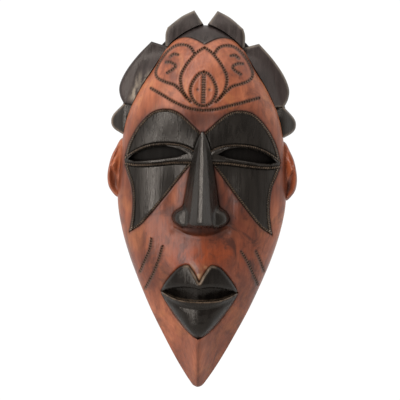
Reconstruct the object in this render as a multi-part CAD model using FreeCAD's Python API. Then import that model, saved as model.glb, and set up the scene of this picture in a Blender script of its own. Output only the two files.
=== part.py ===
"""Carved wooden wall mask: a hollow-backed face with black carved features, a scalloped hair crest and a ring hanger.

Units are millimetres. The mask faces -Y and its back rim lies on the wall plane, Y = 0. Heights in this file are
measured up from the tip of the chin, and every piece is lowered by NAIL_HEIGHT when it is written, so that the
origin is where the nail leaves the wall. Left is -X, as a person looking at the mask sees it.
"""

import FreeCAD
import Part

import math
import os

V = FreeCAD.Vector

# ---- driving dimensions ----
FACE_TOP = 337.0  # chin tip to the top of the face block
NAIL_HEIGHT = 316.0  # chin tip to the nail that the ring hangs on
WALL_THICKNESS = 13.0  # wood left between the outside and the hollow
HOLLOW_BOTTOM = 54.0
HOLLOW_TOP = 272.0
DEEP = 150.0  # longer than the mask is deep, for cutting prisms
INLAY_DEPTH = 3.0  # how far a carved black element reaches into the face
PROUD = 0.6  # how far a black panel stands out of the face
EYE_FLOOR = 6.5  # depth of the eye's floor under the face surface
EYE_THICKNESS = 2.5
LID_PROUD = 2.4
CAP_BACK = 14.0  # the black crown starts this far in front of the wall
BAND_THICKNESS = 12.0
POCKET_BACK = 12.0  # no pocket in the face reaches nearer to the wall than this
LIP_BED = 4.0  # how far the lips reach into the face
MOUTH_FLOOR = 1.0  # depth of the half-open mouth under the face surface

# ---- profiles: (height above the chin tip, value) ----
HALF_WIDTH = [(0, 2.4), (5.5, 6.6), (12, 11.2), (26, 20), (52, 34.4), (74, 45.7), (98, 56.4), (122, 65.9), (146, 73.2),
              (172, 77.8), (200, 77)]
HALF_WIDTH_TOP = [(200, 77), (230, 74.6), (245, 72), (260, 67), (278, 58.3), (296, 47), (308, 39.8), (319, 31.8),
                  (327, 22.4), (333.5, 11.6), (FACE_TOP, 0)]
CENTRE_DEPTH = [(0, 14), (10, 22), (25, 33), (45, 43), (70, 51), (95, 56), (120, 58), (150, 57), (180, 56),
                (210, 57), (235, 60.5), (255, 64), (270, 65.5), (285, 64.5), (300, 60.5), (315, 53), (325, 45.5),
                (332, 38.5), (FACE_TOP, 31)]
EDGE_DEPTH = [(0, 12), (40, 16), (90, 20), (150, 23), (200, 25), (250, 28), (300, 30), (FACE_TOP, 30)]

# ---- soft swellings and hollows of the face: centre x and z, radius x and z, height ----
FACE_SWELLS = [
    (0, 122, 30, 24, 5.0),  # muzzle above the upper lip
    (36, 222, 26, 20, -3.5),  # eye socket
    (23, 184, 12, 26, -4.5),  # hollow beside the nose
    (52, 168, 17, 24, 2.0),  # cheekbone
    (0, 246, 13, 11, -2.5),  # dip between the brows
]


# ---- small tools ----
def profile(points):
    """A smooth function through the points, as a cubic Hermite curve with averaged slopes."""
    xs = [p[0] for p in points]
    ys = [p[1] for p in points]
    last = len(points) - 1
    chords = [(ys[i + 1] - ys[i]) / (xs[i + 1] - xs[i]) for i in range(last)]
    slopes = [chords[0]] + [(chords[i - 1] + chords[i]) / 2 for i in range(1, last)] + [chords[-1]]

    def value(x):
        x = min(max(x, xs[0]), xs[-1])
        i = min(sum(1 for known in xs[1:] if x >= known), last - 1)
        step = xs[i + 1] - xs[i]
        t = (x - xs[i]) / step
        a = (1 + 2 * t) * (1 - t) ** 2 * ys[i] + t * (1 - t) ** 2 * step * slopes[i]
        b = t * t * (3 - 2 * t) * ys[i + 1] + t * t * (t - 1) * step * slopes[i + 1]
        return a + b

    return value


def smoothstep(low, high, x):
    t = min(max((x - low) / (high - low), 0.0), 1.0)
    return t * t * (3 - 2 * t)


lower_half_width = profile(HALF_WIDTH)
upper_square = profile([(z, w * w) for z, w in HALF_WIDTH_TOP])
centre_depth = profile(CENTRE_DEPTH)
edge_depth = profile(EDGE_DEPTH)


def half_width(z):
    """Half the width of the face outline. The arch on top is smooth in the square of its width."""
    if z < HALF_WIDTH[-1][0]:
        return lower_half_width(z)
    return math.sqrt(max(upper_square(z), 0.0))


def face_depth(x, z):
    """Distance from the wall to the front of the face, without its black features."""
    t = min(abs(x) / max(half_width(z), 0.01), 1.0)
    dome = (1 - t**2.3) ** 0.5
    ridge_round = 0.07
    fall = math.hypot(t, ridge_round) - ridge_round
    planes = 1 - fall / (math.hypot(1, ridge_round) - ridge_round)
    share = 1 - smoothstep(35, 125, z)
    section = dome * (1 - share) + planes * share
    depth = edge_depth(z) + (centre_depth(z) - edge_depth(z)) * section
    for cx, cz, rx, rz, height in FACE_SWELLS:
        bump = math.exp(-(((abs(x) - cx) / rx) ** 2) - ((z - cz) / rz) ** 2)
        depth += height * bump * (1 - t * t)
    return depth


def outline_wire(runs):
    """A closed wire in the XZ plane. Each run is a smooth curve, and a corner lies where two runs meet."""
    edges = []
    for run in runs:
        points = [V(x, 0, z) for x, z in run]
        if len(points) == 2:
            edges.append(Part.LineSegment(points[0], points[1]).toShape())
        else:
            curve = Part.BSplineCurve()
            curve.interpolate(points)
            edges.append(curve.toShape())
    return Part.Wire(edges)


def prism(runs, back=0.0, front=DEEP):
    """The outline as a straight prism from back to front, both distances from the wall."""
    face = Part.Face(outline_wire(runs))
    face.translate(V(0, -back, 0))
    return face.extrude(V(0, back - front, 0))


def both_halves(runs):
    """A closed outline from open runs on the +X side, which start and end on the centre line."""
    back = [[(-x, z) for x, z in reversed(run)] for run in reversed(runs)]
    return runs + back


def slab(grid):
    """The solid behind a surface through the grid of points, down to the wall plane."""
    surface = Part.BSplineSurface()
    surface.interpolate(grid)
    solid = surface.toShape().extrude(V(0, 2 * DEEP, 0))
    keep = Part.makeBox(4 * DEEP, DEEP, 4 * DEEP, V(-2 * DEEP, -DEEP, -DEEP))
    return solid.common(keep).Solids[0]


def relief(depth, x_range, z_range, nx=15, nz=15):
    """The solid behind depth(x, z) over a rectangle."""
    xs = [x_range[0] + (x_range[1] - x_range[0]) * i / (nx - 1) for i in range(nx)]
    zs = [z_range[0] + (z_range[1] - z_range[0]) * j / (nz - 1) for j in range(nz)]
    return slab([[V(x, -depth(x, z), z) for z in zs] for x in xs])


def rows_between(low, high, count):
    """Heights spaced evenly, and ever closer towards the top of the face."""
    return [low + (high - low) * math.sin(0.5 * math.pi * j / (count - 1)) ** 0.82 for j in range(count)]


def face_block(inset, low, high, columns=25, rows=34):
    """The face as a solid block, taken in by inset on every side."""
    grid = []
    for i in range(columns):
        angle = math.pi * (i / (columns - 1) - 0.5)
        column = []
        for z in rows_between(low, high, rows):
            x = half_width(z) * math.sin(angle)
            shrink = max(1 - inset / half_width(z), 0.05)
            column.append(V(x * shrink, inset - face_depth(x, z), z))
        grid.append(column)
    return slab(grid)


def moved(shape, x=0.0, y=0.0, z=0.0):
    copy = shape.copy()
    copy.translate(V(x, y, z))
    return copy


def in_mirror(shape):
    return shape.mirror(V(0, 0, 0), V(1, 0, 0))


# ---- outlines on the +X side ----
NOSE_TOP = (2.6, 236.5)
EYE_INNER = (7.4, 214.0)  # under the side of the nose
EYE_OUTER = (71.9, 210.5)
BROW_ARCH = [NOSE_TOP, (8.8, 242.4), (15.0, 248.2), (21.5, 253.4), (28.0, 256.2), (34.8, 257.0), (42.0, 256.0),
             (48.2, 253.0), (54.3, 247.4), (60.2, 240.1), (65.0, 232.0), (68.6, 223.5), (71.2, 213.5)]
LID_TOP = [(71.2, 213.5), (66.0, 217.2), (60.0, 220.6), (54.0, 223.2), (47.0, 225.2), (39.0, 226.2), (30.0, 226.3),
           (20.0, 225.2), (12.0, 222.6), (7.0, 219.8)]
SLIT_TOP = [(68.0, 211.0), (62.0, 216.0), (54.0, 219.8), (45.0, 222.2), (36.0, 223.0), (28.0, 222.2), (21.0, 220.2),
            (14.5, 216.4)]
SLIT_BOTTOM = [(14.5, 216.4), (20.5, 214.6), (28.0, 213.2), (36.5, 212.0), (45.5, 210.8), (54.0, 209.8),
               (62.0, 209.4), (68.0, 211.0)]
BAND_BOTTOM = [(71.2, 205.6), (62.5, 204.3), (54.0, 204.4), (45.5, 205.0), (36.5, 205.9), (27.5, 207.0),
               (19.0, 207.4), (9.6, 207.4)]
CHEEK_OUTER = [(71.2, 205.6), (68.4, 197.0), (65.0, 188.0), (63.2, 177.0), (63.0, 166.0), (63.9, 155.0),
               (65.8, 144.0)]
CHEEK_INNER = [(65.8, 144.0), (56.0, 150.2), (46.6, 160.6), (38.0, 171.2), (29.5, 182.0), (22.0, 192.2),
               (14.6, 201.6), (9.6, 207.4)]
CAP_EDGE = [(46.0, 306.0), (38.0, 313.6), (30.5, 320.4), (24.0, 323.6), (17.3, 324.6), (9.3, 322.6), (0, 317.8)]
LIP_CORNER = (35.6, 90.2)
MOUTH_SIDE = (33.0, 89.6)
LIP_PEAK_EDGE = [LIP_CORNER, (32.2, 97.0), (27.7, 103.4), (20.8, 111.4), (14.8, 114.6), (9.6, 114.4), (4.6, 107.6),
                 (0, 99.2)]
MOUTH_TOP = [(0, 92.6), (7.0, 93.9), (16.5, 93.8), (26.5, 92.2), LIP_CORNER]
LIP_BOTTOM_EDGE = [LIP_CORNER, (34.0, 85.0), (30.0, 78.2), (22.8, 67.4), (14.8, 57.4), (7.0, 50.0), (0, 45.8)]
EAR_EDGE = [(66.0, 231.0), (75.5, 230.2), (80.6, 221.8), (85.0, 212.0), (87.8, 197.5), (86.8, 186.5), (82.6, 179.4),
            (77.0, 175.0), (66.0, 173.4)]
TOP_LOBE = [[(2.0, 337.0), (10.8, 350.0)], [(10.8, 350.0), (22.8, 343.6), (35.0, 333.4)],
            [(35.0, 333.4), (36.8, 327.0), (36.6, 316.0)], [(36.6, 316.0), (20.0, 318.0), (2.0, 337.0)]]
SIDE_LOBE = [[(36.8, 316.6), (49.8, 320.4)], [(49.8, 320.4), (62.8, 306.6), (73.2, 292.2), (78.6, 279.4),
             (78.0, 270.0), (74.0, 261.8)], [(74.0, 261.8), (58.0, 262.0)], [(58.0, 262.0), (36.8, 316.6)]]
LOW_LOBE = [[(74.2, 262.6), (83.8, 252.4), (85.8, 245.0), (82.8, 239.0), (74.0, 233.6)], [(74.0, 233.6), (62.0, 236.0)],
            [(62.0, 236.0), (62.0, 262.0)], [(62.0, 262.0), (74.2, 262.6)]]
HAIR_BAND_EDGE = [(0, 336.8), (16.0, 335.0), (31.0, 327.0), (40.5, 318.4), (52.5, 305.0), (63.0, 289.0),
                  (70.5, 274.5), (75.6, 262.0), (77.6, 250.0), (77.0, 236.0)]

# ---- depths of the pieces that stand out of the face ----
NOSE_SECTIONS = [  # height, half width, how far the ridge stands out of the face
    (239.0, 1.4, 0.8), (232, 4.0, 4.5), (215, 8.6, 12.5), (195, 12.2, 20.5), (175, 15.2, 27.5), (160, 17.2, 30.5),
    (152.5, 17.6, 29.5), (149.2, 16.4, 21.0)]
WING_EDGE = [(9.0, 149.5), (16.0, 150.3), (22.4, 152.6), (25.9, 157.4), (23.6, 163.6), (17.6, 167.6), (10.0, 170.0)]
WING_CENTRE = (13.0, 158.0)
WING_RADII = (13.2, 13.5)
WING_RISE = 12.0
RING_WIRE = 2.4  # hanger ring's wire diameter
RING_INNER_WIDTH = 20.0
RING_INNER_HEIGHT = 12.0
STRAP_WIDTH = 13.0
STRAP_LENGTH = 24.0
STRAP_SHEET = 1.0
RECESS_DEPTH = 6.0
RECESS_WIDTH = 34.0
RECESS_LOW, RECESS_HIGH = NAIL_HEIGHT - 38.0, NAIL_HEIGHT + 8.0
SCREW_RADIUS = 1.45
SCREW_LENGTH = 9.0
BAR_CLEARANCE = 0.15


def nose_bridge(face):
    """Roof-shaped nose with a sharp ridge, let into the face."""
    wires = []
    for z, half, rise in NOSE_SECTIONS:
        base = face_depth(0, z)
        side = face_depth(half, z) + 0.14 * rise
        shoulder = base + 0.62 * rise
        corners = [(-half, base - 12), (-half, side), (-0.5 * half, shoulder), (0, base + rise),
                   (0.5 * half, shoulder), (half, side), (half, base - 12)]
        points = [V(x, -depth, z) for x, depth in corners]
        wires.append(Part.makePolygon(points + points[:1]))
    return Part.makeLoft(wires, True, False).cut(moved(face, y=INLAY_DEPTH))


def wing_depth(x, z):
    out = (abs(x) - WING_CENTRE[0]) / WING_RADII[0]
    up = (z - WING_CENTRE[1]) / WING_RADII[1]
    return face_depth(x, z) + 1.5 + WING_RISE * math.exp(-((out * out + up * up) ** 2))


def nose_wings(face, bridge):
    """The flares beside the nose, right one first and its mirror image second."""
    block = relief(wing_depth, (4, 28), (146, 174), 13, 13)
    wing = prism([WING_EDGE, [WING_EDGE[-1], WING_EDGE[0]]], 12).common(block)
    wing = wing.cut(moved(face, y=INLAY_DEPTH)).cut(bridge).Solids[0]
    return wing, in_mirror(wing)


def pocket(face, runs, depth):
    """The space that a piece of this outline takes in the face, and in front of it."""
    return prism(runs, POCKET_BACK).cut(moved(face, y=depth))


def inlay(face, runs, proud, depth):
    """A carved element of one outline, standing proud of the face and let into it to a depth."""
    return pocket(face, runs, depth).common(moved(face, y=-proud))


def lip_half_width(z):
    return 36.5 * smoothstep(30, 92, z) + 2.0


def upper_lip_depth(x, z):
    across = math.sqrt(max(1 - (x / 46.0) ** 2, 0.0))
    return face_depth(x, z) + 2.5 + 9.0 * across * (1 - smoothstep(91, 122, z))


lower_lip_rise = profile([(44, 1.5), (50, 6.5), (60, 11), (68, 10.5), (75, 7.5), (82, 9.5), (92, 9.5)])


def lower_lip_depth(x, z):
    t = min(abs(x) / (lip_half_width(z) + 4.0), 1.0)
    return face_depth(x, z) + 1.0 + lower_lip_rise(z) * math.sqrt(1 - t * t)


def lips(face):
    """The upper lip, the lower lip with the floor of the half-open mouth, and the pockets for both."""
    upper_pocket = pocket(face, both_halves([MOUTH_TOP, LIP_PEAK_EDGE]), LIP_BED)
    upper = upper_pocket.common(relief(upper_lip_depth, (-42, 42), (86, 120)))
    lower_pocket = pocket(face, both_halves([MOUTH_TOP, LIP_BOTTOM_EDGE]), LIP_BED)
    lower = lower_pocket.common(relief(lower_lip_depth, (-42, 42), (40, 98), 15, 21))
    side = [MOUTH_SIDE, (MOUTH_SIDE[0], 99.0)]
    mouth = both_halves([[(0, 81.4), (19.5, 83.0), MOUTH_SIDE], side, [side[1], (0, 99.0)]])
    return upper, lower.cut(pocket(face, mouth, MOUTH_FLOOR)), [upper_pocket, lower_pocket]


def ear_depth(x, z):
    """A rim round a scooped shell, with a lobe at the bottom."""
    along = (z - 202.0) / 29.0
    rim = 33.0 - 7.0 * along * along
    scoop = 9.0 * math.exp(-(((abs(x) - 80.5) / 3.4) ** 2) - ((z - 206) / 15.0) ** 2)
    outer = smoothstep(82, 89, abs(x))
    return rim - scoop - 5.0 * outer


def side_lobe_depth(x, z):
    outer = smoothstep(50, 82, abs(x) + 0.25 * (z - 290))
    return 35.0 - 12.0 * outer


def low_lobe_depth(x, z):
    return 31.0 - 10.0 * smoothstep(72, 88, abs(x)) - 4.0 * smoothstep(250, 264, z)


def top_lobe_depth(x, z):
    return 37.0 - 5.0 * smoothstep(330, 352, z)


def hair_lobes(face, band):
    """Six scallops of the crest, glued to the front of the band and the side of the face."""
    shapes = {"top": (TOP_LOBE, top_lobe_depth, (-1, 42), (312, 354)),
              "side": (SIDE_LOBE, side_lobe_depth, (32, 84), (256, 324)),
              "low": (LOW_LOBE, low_lobe_depth, (58, 90), (230, 266))}
    made = {}
    for name, (runs, depth, x_range, z_range) in shapes.items():
        block = prism(runs, 2).common(relief(depth, x_range, z_range, 11, 11)).cut(face).cut(band)
        made[name, "right"] = block
        made[name, "left"] = in_mirror(block)
    for side in ("left", "right"):
        made["side", side] = made["side", side].cut(made["top", side])
        made["low", side] = made["low", side].cut(made["side", side])
    return {key: shape.Solids[0] for key, shape in made.items()}


def hanger():
    """A folded steel strap in a recess in the back, its screws, and the ring that turns in the fold."""
    bar_z = NAIL_HEIGHT - RING_INNER_HEIGHT - RING_WIRE / 2 + 1.6
    hole = RING_WIRE / 2 + BAR_CLEARANCE
    curl = hole + STRAP_SHEET
    plate_y = -RECESS_DEPTH
    bar_y = plate_y + curl
    low = bar_z - STRAP_LENGTH
    plate = Part.makeBox(STRAP_WIDTH, STRAP_SHEET, STRAP_LENGTH, V(-STRAP_WIDTH / 2, plate_y, low))
    barrel = Part.makeCylinder(curl, STRAP_WIDTH, V(-STRAP_WIDTH / 2, bar_y, bar_z), V(1, 0, 0))
    bore = Part.makeCylinder(hole, STRAP_WIDTH + 2, V(-STRAP_WIDTH / 2 - 1, bar_y, bar_z), V(1, 0, 0))
    strap = plate.fuse(barrel).cut(bore)
    screws = []
    for z in (low + 5.0, low + 14.0):
        shank = Part.makeCylinder(SCREW_RADIUS, SCREW_LENGTH, V(0, plate_y + STRAP_SHEET, z), V(0, -1, 0))
        head = Part.makeSphere(3.4, V(0, plate_y + STRAP_SHEET - 1.9, z))
        head = head.common(Part.makeBox(10, 3, 10, V(-5, plate_y + STRAP_SHEET, z - 5)))
        slot = Part.makeBox(8, 1, 0.8, V(-4, plate_y + STRAP_SHEET + 0.9, z - 0.4))
        strap = strap.cut(shank)
        screws.append(shank.fuse(head).cut(slot))
    half = RING_INNER_WIDTH / 2 + RING_WIRE / 2
    high = bar_z + RING_INNER_HEIGHT + RING_WIRE
    bow_low = bar_z + 4.0
    path = Part.Wire([
        Part.LineSegment(V(-half, bar_y, bar_z), V(half, bar_y, bar_z)).toShape(),
        Part.LineSegment(V(half, bar_y, bar_z), V(half, bar_y, bow_low)).toShape(),
        Part.Arc(V(half, bar_y, bow_low), V(0, bar_y, high), V(-half, bar_y, bow_low)).toShape(),
        Part.LineSegment(V(-half, bar_y, bow_low), V(-half, bar_y, bar_z)).toShape()])
    return strap, Part.makeCompound(screws), round_wire(path), (bar_y, bar_z)


def round_wire(path):
    """A round wire along the closed path, with a ball at each corner and joint."""
    pieces = []
    for edge in path.Edges:
        first = edge.valueAt(edge.FirstParameter)
        along = edge.tangentAt(edge.FirstParameter)
        section = Part.Wire(Part.makeCircle(RING_WIRE / 2, first, along))
        pieces.append(Part.Wire(edge).makePipeShell([section], True, False))
        pieces.append(Part.makeSphere(RING_WIRE / 2, first))
    return pieces[0].multiFuse(pieces[1:]).removeSplitter()


def eye_outlines():
    """The outlines of the black pieces about one eye, on the +X side, with how far each stands out and goes in."""
    nose_side = [LID_TOP[-1], (5.2, 226.5), NOSE_TOP]
    slit_inner, slit_outer = [SLIT_TOP[-1], EYE_INNER], [EYE_OUTER, SLIT_TOP[0]]
    lid = [LID_TOP[::-1], [LID_TOP[0], EYE_OUTER], slit_outer, SLIT_TOP, slit_inner, [EYE_INNER, LID_TOP[-1]]]
    band = [SLIT_BOTTOM, slit_outer[::-1], [EYE_OUTER, BAND_BOTTOM[0]], BAND_BOTTOM, [BAND_BOTTOM[-1], EYE_INNER],
            slit_inner[::-1]]
    return {"brow_panel": ([BROW_ARCH, LID_TOP, nose_side], PROUD, INLAY_DEPTH),
            "upper_eyelid": (lid, LID_PROUD, EYE_FLOOR),
            "lower_eyelid": (band, LID_PROUD, EYE_FLOOR),
            "cheek_panel": ([CHEEK_OUTER, CHEEK_INNER, BAND_BOTTOM[::-1]], PROUD, INLAY_DEPTH),
            "eye": ([SLIT_TOP, SLIT_BOTTOM], -EYE_FLOOR, EYE_FLOOR + EYE_THICKNESS)}


def crest(face):
    """The band behind the hair, and the scallops in front of it."""
    band = [HAIR_BAND_EDGE, [HAIR_BAND_EDGE[-1], (60.0, 236.0)], [(60.0, 236.0), (0, 300.0)]]
    band = prism(both_halves(band), 0, BAND_THICKNESS).cut(face)
    parts = {"hair_band": band}
    for (name, side), shape in hair_lobes(face, band).items():
        parts[f"hair_lobe_{name}_{side}"] = shape
    return parts


def ears(face, hair):
    ear = prism([EAR_EDGE, [EAR_EDGE[-1], EAR_EDGE[0]]], 8).common(relief(ear_depth, (60, 92), (168, 236)))
    ear = ear.cut(face).cut(hair["hair_band"]).cut(hair["hair_lobe_low_right"])
    return {"ear_right": ear, "ear_left": in_mirror(ear)}


def build():
    """Every piece by its node name, with heights from the chin tip."""
    face = face_block(0.0, 1.0, FACE_TOP - 0.8)
    hollow = face_block(WALL_THICKNESS, HOLLOW_BOTTOM, HOLLOW_TOP, 21, 24)
    crown_side = (CAP_EDGE[0][0], FACE_TOP + 8.0)
    crown = both_halves([CAP_EDGE[::-1], [CAP_EDGE[0], crown_side], [crown_side, (0, crown_side[1])]])
    parts = {"hair_cap": prism(crown, CAP_BACK).common(face)}
    shell = face.cut(hollow).cut(parts["hair_cap"])

    bridge = nose_bridge(face)
    parts["nose_bridge"] = bridge
    parts["nose_wing_right"], parts["nose_wing_left"] = nose_wings(face, bridge)
    parts["upper_lip"], parts["lower_lip"], pockets = lips(face)
    for name, (runs, proud, depth) in eye_outlines().items():
        right = inlay(face, runs, proud, depth).cut(bridge)
        parts[f"{name}_right"] = right
        parts[f"{name}_left"] = in_mirror(right)
        space = pocket(face, runs, depth)
        pockets += [space, in_mirror(space)]
    parts.update(crest(face))
    parts.update(ears(face, parts))

    strap, screws, ring, bar = hanger()
    recess = Part.makeBox(RECESS_WIDTH, RECESS_DEPTH, RECESS_HIGH - RECESS_LOW,
                          V(-RECESS_WIDTH / 2, -RECESS_DEPTH, RECESS_LOW))
    noses = [parts[name] for name in ("nose_bridge", "nose_wing_left", "nose_wing_right")]
    for tool in pockets + noses + [recess] + screws.Solids:
        shell = shell.cut(tool)
    parts["face_shell"] = shell
    parts["hanger_strap"] = strap
    parts["hanger_screws"] = screws
    parts["hanger_ring"] = ring
    print("ring axis: y", round(bar[0], 3), "z", round(bar[1] - NAIL_HEIGHT, 3))
    return parts


def main():
    os.makedirs("parts", exist_ok=True)
    for name, shape in build().items():
        shape = moved(shape, z=-NAIL_HEIGHT)
        print(name, len(shape.Solids), "solid", shape.isValid(), round(shape.Volume / 1000, 2), "cm3")
        shape.exportStep(os.path.join("parts", name + ".step"))


main()
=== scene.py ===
"""The looks of the carved wooden mask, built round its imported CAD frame.

Shapes are worked out in millimetres, with heights from the tip of the chin and depths from the wall, and
turned into the frame's metres when a mesh is made. Left is -X, as a person looking at the mask sees it.
"""

import math
from collections import defaultdict

import bmesh
import bpy
import numpy as np
from mathutils import Matrix, Vector
from mathutils.geometry import delaunay_2d_cdt


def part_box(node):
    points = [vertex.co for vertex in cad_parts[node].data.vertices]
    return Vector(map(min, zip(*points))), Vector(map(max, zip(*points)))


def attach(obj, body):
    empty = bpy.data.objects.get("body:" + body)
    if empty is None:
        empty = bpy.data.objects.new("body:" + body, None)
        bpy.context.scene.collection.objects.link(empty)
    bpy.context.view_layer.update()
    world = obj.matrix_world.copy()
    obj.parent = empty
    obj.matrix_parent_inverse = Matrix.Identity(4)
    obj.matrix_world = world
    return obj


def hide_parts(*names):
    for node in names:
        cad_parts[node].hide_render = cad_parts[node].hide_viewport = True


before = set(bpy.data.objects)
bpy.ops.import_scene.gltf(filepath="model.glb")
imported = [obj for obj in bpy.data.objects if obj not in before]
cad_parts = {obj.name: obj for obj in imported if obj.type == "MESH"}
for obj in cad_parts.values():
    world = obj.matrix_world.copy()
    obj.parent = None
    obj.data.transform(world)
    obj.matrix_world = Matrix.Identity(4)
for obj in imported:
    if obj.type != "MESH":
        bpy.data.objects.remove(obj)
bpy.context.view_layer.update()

# ---- places taken from the frame ----
SHELL_LOW, SHELL_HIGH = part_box("face_shell")
CHIN_CUT = 1  # the block's lowest row, above the ideal tip of the chin
NAIL_HEIGHT = CHIN_CUT - SHELL_LOW.z * 1000
BLOCK_TOP = SHELL_HIGH.z * 1000 + NAIL_HEIGHT
STRAP_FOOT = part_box("hanger_strap")[0].z * 1000 + NAIL_HEIGHT

# ---- driving dimensions ----
FACE_TOP = 337
WALL_THICKNESS = 13
HOLLOW_LOW, HOLLOW_HIGH = 54, 272
HOLLOW_ROUND = 14  # width of the rounded walls of the hollow
RECESS_HALF, RECESS_DEPTH = 17, 6  # the flat recess behind the hanger
RECESS_LOW, RECESS_HIGH = STRAP_FOOT - 2.4, NAIL_HEIGHT + 8
BED = 9.5  # how deep the black pieces are let into the brown block
CHIN_ROUND = 2.2
CROWN_BACK, LOBE_BACK, EAR_BACK = 14, 2, 8  # depths of these pieces' back faces
BAND_LOW, BAND_THICKNESS = 236, 12
EYE_FLOOR, MOUTH_FLOOR = 6.5, 4.5
ROPE_WIDTHS = {"brow": 2.4, "cheek_outer": 2.4, "cheek_inner": 2.4, "lid": 1.9, "band": 2.3}
ROPE_HEIGHT = 1.9
ROPE_PITCH = 2.1
HATCH_PITCH = 2.3  # spacing of the nicks in the grooves
FINE_STEP = ROPE_PITCH / 4  # spacing of points along ropes and grooves
DETAIL_STEP, PANEL_STEP, FACE_STEP = 1, 1.5, 2  # spacing of points over surfaces
EDGE_STEP = 1.6
rng = np.random.default_rng(7)

HALF_WIDTH = [(0, 2.4), (5.5, 6.6), (12, 11.2), (26, 20), (52, 34.4), (74, 45.7), (98, 56.4), (122, 65.9),
    (146, 73.2), (172, 77.8), (200, 77)]
HALF_WIDTH_TOP = [(200, 77), (230, 74.6), (245, 72), (260, 67), (278, 58.3), (296, 47), (308, 39.8),
    (319, 31.8), (327, 22.4), (333.5, 11.6), (FACE_TOP, 0)]
CENTRE_DEPTH = [(0, 14), (10, 22), (25, 33), (45, 43), (70, 51), (95, 56), (120, 58), (150, 57), (180, 56),
    (210, 57), (235, 60.5), (255, 64), (270, 65.5), (285, 64.5), (300, 60.5), (315, 53),
    (325, 45.5), (332, 38.5), (FACE_TOP, 31)]
EDGE_DEPTH = [(0, 12), (40, 16), (90, 20), (150, 23), (200, 25), (250, 28), (300, 30), (FACE_TOP, 30)]
FACE_SWELLS = [  # centre x and z, radius x and z, height
    (0, 122, 30, 24, 5), (36, 222, 26, 20, -3.5), (23, 184, 12, 26, -2.5), (52, 168, 17, 24, 2),
    (0, 246, 13, 11, -2.5)]


# ---- curves and distances ----
def profile(points):
    """A smooth function through the points, as a cubic Hermite curve with averaged slopes."""
    xs, ys = (np.array(column, float) for column in zip(*points))
    chords = np.diff(ys) / np.diff(xs)
    slopes = np.concatenate([chords[:1], (chords[:-1] + chords[1:]) / 2, chords[-1:]])

    def value(x):
        x = np.clip(x, xs[0], xs[-1])
        i = np.clip(np.searchsorted(xs, x, side="right") - 1, 0, len(xs) - 2)
        step = xs[i + 1] - xs[i]
        t = (x - xs[i]) / step
        start = (1 + 2 * t) * (1 - t) ** 2 * ys[i] + t * (1 - t) ** 2 * step * slopes[i]
        return start + t * t * (3 - 2 * t) * ys[i + 1] + t * t * (t - 1) * step * slopes[i + 1]

    return value


def ease(low, high, x):
    """0 where x is low and 1 where it is high, with a smooth change between them."""
    t = np.clip((x - low) / (high - low), 0, 1)
    return t * t * (3 - 2 * t)


def fade(x, width):
    """1 where x is 0, falling smoothly to 0 on both sides."""
    return np.exp(-((x / width) ** 2))


def spot(x, z, centre_x, centre_z, radius_x, radius_z):
    """1 in the middle of an oval, falling smoothly to 0 around it."""
    return np.exp(-(((x - centre_x) / radius_x) ** 2) - ((z - centre_z) / radius_z) ** 2)


def evenly(path, step, whole=round):
    """Evenly spaced points along a path, as near to the step as a whole number of steps allows."""
    length = np.concatenate([[0], np.cumsum(np.hypot(*np.diff(path, axis=0).T))])
    stops = np.linspace(0, length[-1], max(int(whole(length[-1] / step)), 1) + 1)
    return np.column_stack([np.interp(stops, length, path[:, k]) for k in (0, 1)])


def curve(points, step=FINE_STEP):
    """Evenly spaced points along the smooth curve through a few given ones."""
    p = np.array(points, float)
    ends = np.vstack([2 * p[0] - p[1], p, 2 * p[-1] - p[-2]])
    t = np.linspace(0, 1, 24, endpoint=False)[:, None]
    spans = []
    for a, b, c, d in zip(ends, ends[1:], ends[2:], ends[3:]):
        square, cube = 2 * a - 5 * b + 4 * c - d, 3 * b - a - 3 * c + d
        spans.append(0.5 * (2 * b + (c - a) * t + square * t**2 + cube * t**3))
    return evenly(np.vstack(spans + [p[-1:]]), step)


def straight(a, b, step=EDGE_STEP):
    count = max(int(math.dist(a, b) / step), 1) + 1
    return np.column_stack([np.linspace(a[k], b[k], count) for k in (0, 1)])


def flipped(line):
    return line * (-1, 1)


def mirrored(right):
    """The closed outline made of a path on the +X side and its mirror image."""
    return np.vstack([right, flipped(right)[::-1]])


def in_box(low, high, x, z):
    """Which points lie between two corners, as their numbers."""
    return np.nonzero((x > low[0]) & (x < high[0]) & (z > low[1]) & (z < high[1]))[0]


def near(line, x, z, reach):
    """Distance from each point to a line, infinite beyond reach, and how far along the line that is."""
    distance, along = np.full(len(x), np.inf), np.zeros(len(x))
    chosen = in_box(line.min(0) - reach, line.max(0) + reach, x, z)
    a, run = line[:-1], np.diff(line, axis=0)
    square = (run**2).sum(1)
    start = np.concatenate([[0], np.cumsum(np.sqrt(square))[:-1]])
    for part in np.array_split(chosen, len(chosen) * len(run) // 1500000 + 1):
        to = np.stack([x[part], z[part]], 1)[:, None] - a
        t = np.clip((to * run).sum(2) / square, 0, 1)
        gap = ((to - t[..., None] * run) ** 2).sum(2)
        best = gap.argmin(1)
        rows = np.arange(len(part))
        distance[part] = np.sqrt(gap[rows, best])
        along[part] = start[best] + t[rows, best] * np.sqrt(square[best])
    distance[distance > reach] = np.inf
    return distance, along


def inside(outline, x, z):
    """Whether each point lies in the closed outline."""
    chosen = in_box(outline.min(0), outline.max(0), x, z)
    result = np.zeros(len(x), bool)
    ax, az = outline.T
    bx, bz = np.roll(outline, -1, axis=0).T
    for part in np.array_split(chosen, len(chosen) * len(ax) // 2000000 + 1):
        px, pz = x[part][:, None], z[part][:, None]
        crosses = (az > pz) != (bz > pz)
        slope = np.divide(bx - ax, bz - az, out=np.zeros_like(ax), where=bz != az)
        result[part] = (crosses & (px < ax + (pz - az) * slope)).sum(1) % 2 == 1
    return result


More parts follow.
